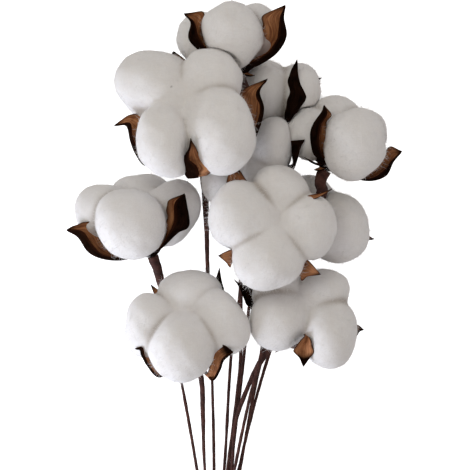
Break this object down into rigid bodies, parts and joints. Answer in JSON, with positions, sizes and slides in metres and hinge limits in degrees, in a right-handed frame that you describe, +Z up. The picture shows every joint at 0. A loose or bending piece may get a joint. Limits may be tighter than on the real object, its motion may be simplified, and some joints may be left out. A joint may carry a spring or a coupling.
{
  "type": "cotton stem bunch",
  "caption": "Loose bunch of dried cotton stems lying down: white open bolls held in brown burs on slim tape-wrapped stems.",
  "frame": {"origin": "centre of the underside of the bounding box, on the table the bunch lies on", "axes": "+X across the bunch, +Y from the cut stem ends to the bolls, +Z up from the table"},
  "size_m": [0.1626, 0.3798, 0.0899],
  "materials": {
    "lint": "matte",
    "bur": "matte",
    "tape": "matte"
  },
  "bodies": {
    "root": {"lint_01": "lint", "bur_01": "bur", "stem_01": "tape", "lint_02": "lint", "bur_02": "bur", "stem_02": "tape", "lint_03": "lint", "bur_03": "bur", "stem_03": "tape", "lint_04": "lint", "bur_04": "bur", "stem_04": "tape", "lint_05": "lint", "bur_05": "bur", "stem_05": "tape", "lint_06": "lint", "bur_06": "bur", "stem_06": "tape", "lint_07": "lint", "bur_07": "bur", "stem_07": "tape", "lint_08": "lint", "bur_08": "bur", "stem_08": "tape", "lint_09": "lint", "bur_09": "bur", "stem_09": "tape", "lint_10": "lint", "bur_10": "bur", "stem_10": "tape"}
  },
  "joints": []
}
